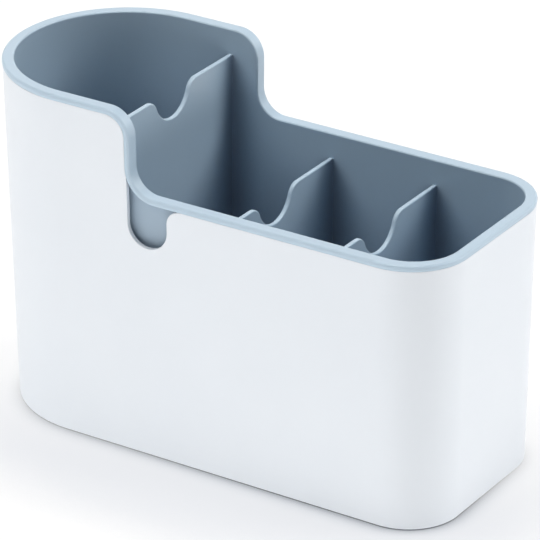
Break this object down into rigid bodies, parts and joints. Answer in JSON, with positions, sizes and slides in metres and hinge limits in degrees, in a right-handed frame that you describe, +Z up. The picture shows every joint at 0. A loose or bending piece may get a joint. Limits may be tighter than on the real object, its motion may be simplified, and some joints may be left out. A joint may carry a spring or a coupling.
{
  "type": "utensil holder",
  "caption": "Stepped countertop utensil holder: drip tub with a round tall end and a lift-out drainer with a rolled rim and saddle-topped dividers.",
  "frame": {"origin": "centre of the overall box, on the table plane under the pads", "axes": "+X along the length towards the low square end, +Y towards the back long wall, +Z up"},
  "size_m": [0.2494, 0.1104, 0.1677],
  "materials": {
    "shell_white": "satin",
    "liner_blue_grey": "satin",
    "pad_rubber": "matt"
  },
  "bodies": {
    "tub": {"outer_shell": "shell_white", "foot_front_left": "pad_rubber", "foot_front_right": "pad_rubber", "foot_back_left": "pad_rubber", "foot_back_right": "pad_rubber"},
    "drainer": {"inner_liner": "liner_blue_grey"}
  },
  "joints": [
    {"name": "drainer_lift", "type": "slide", "parent": "tub", "child": "drainer", "axis": [0, 0, 1], "range_m": [0, 0.18]}
  ]
}
